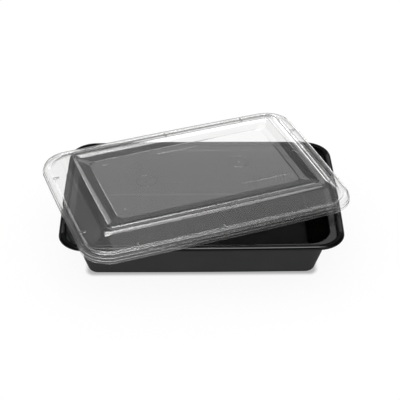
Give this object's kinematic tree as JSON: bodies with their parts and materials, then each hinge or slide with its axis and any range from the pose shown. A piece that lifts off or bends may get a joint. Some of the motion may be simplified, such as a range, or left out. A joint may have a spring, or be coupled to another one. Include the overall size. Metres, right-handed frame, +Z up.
{
  "type": "takeaway meal container",
  "caption": "Black rectangular takeaway food tray with sloping walls and a rolled rim, its clear domed lid lying loose and turned on top.",
  "frame": {"origin": "centre of the tray's flat underside", "axes": "+Z up out of the tray, +X along the tray's long side, so that the picture's camera looks roughly along +Y"},
  "size_m": [0.251, 0.2094, 0.0572],
  "materials": {
    "black_plastic": "satin outside, glossier on the rim and inside",
    "clear_plastic": "clear and glossy, very slightly milky"
  },
  "bodies": {
    "root": {"tray": "black_plastic", "lid": "clear_plastic"}
  },
  "joints": []
}
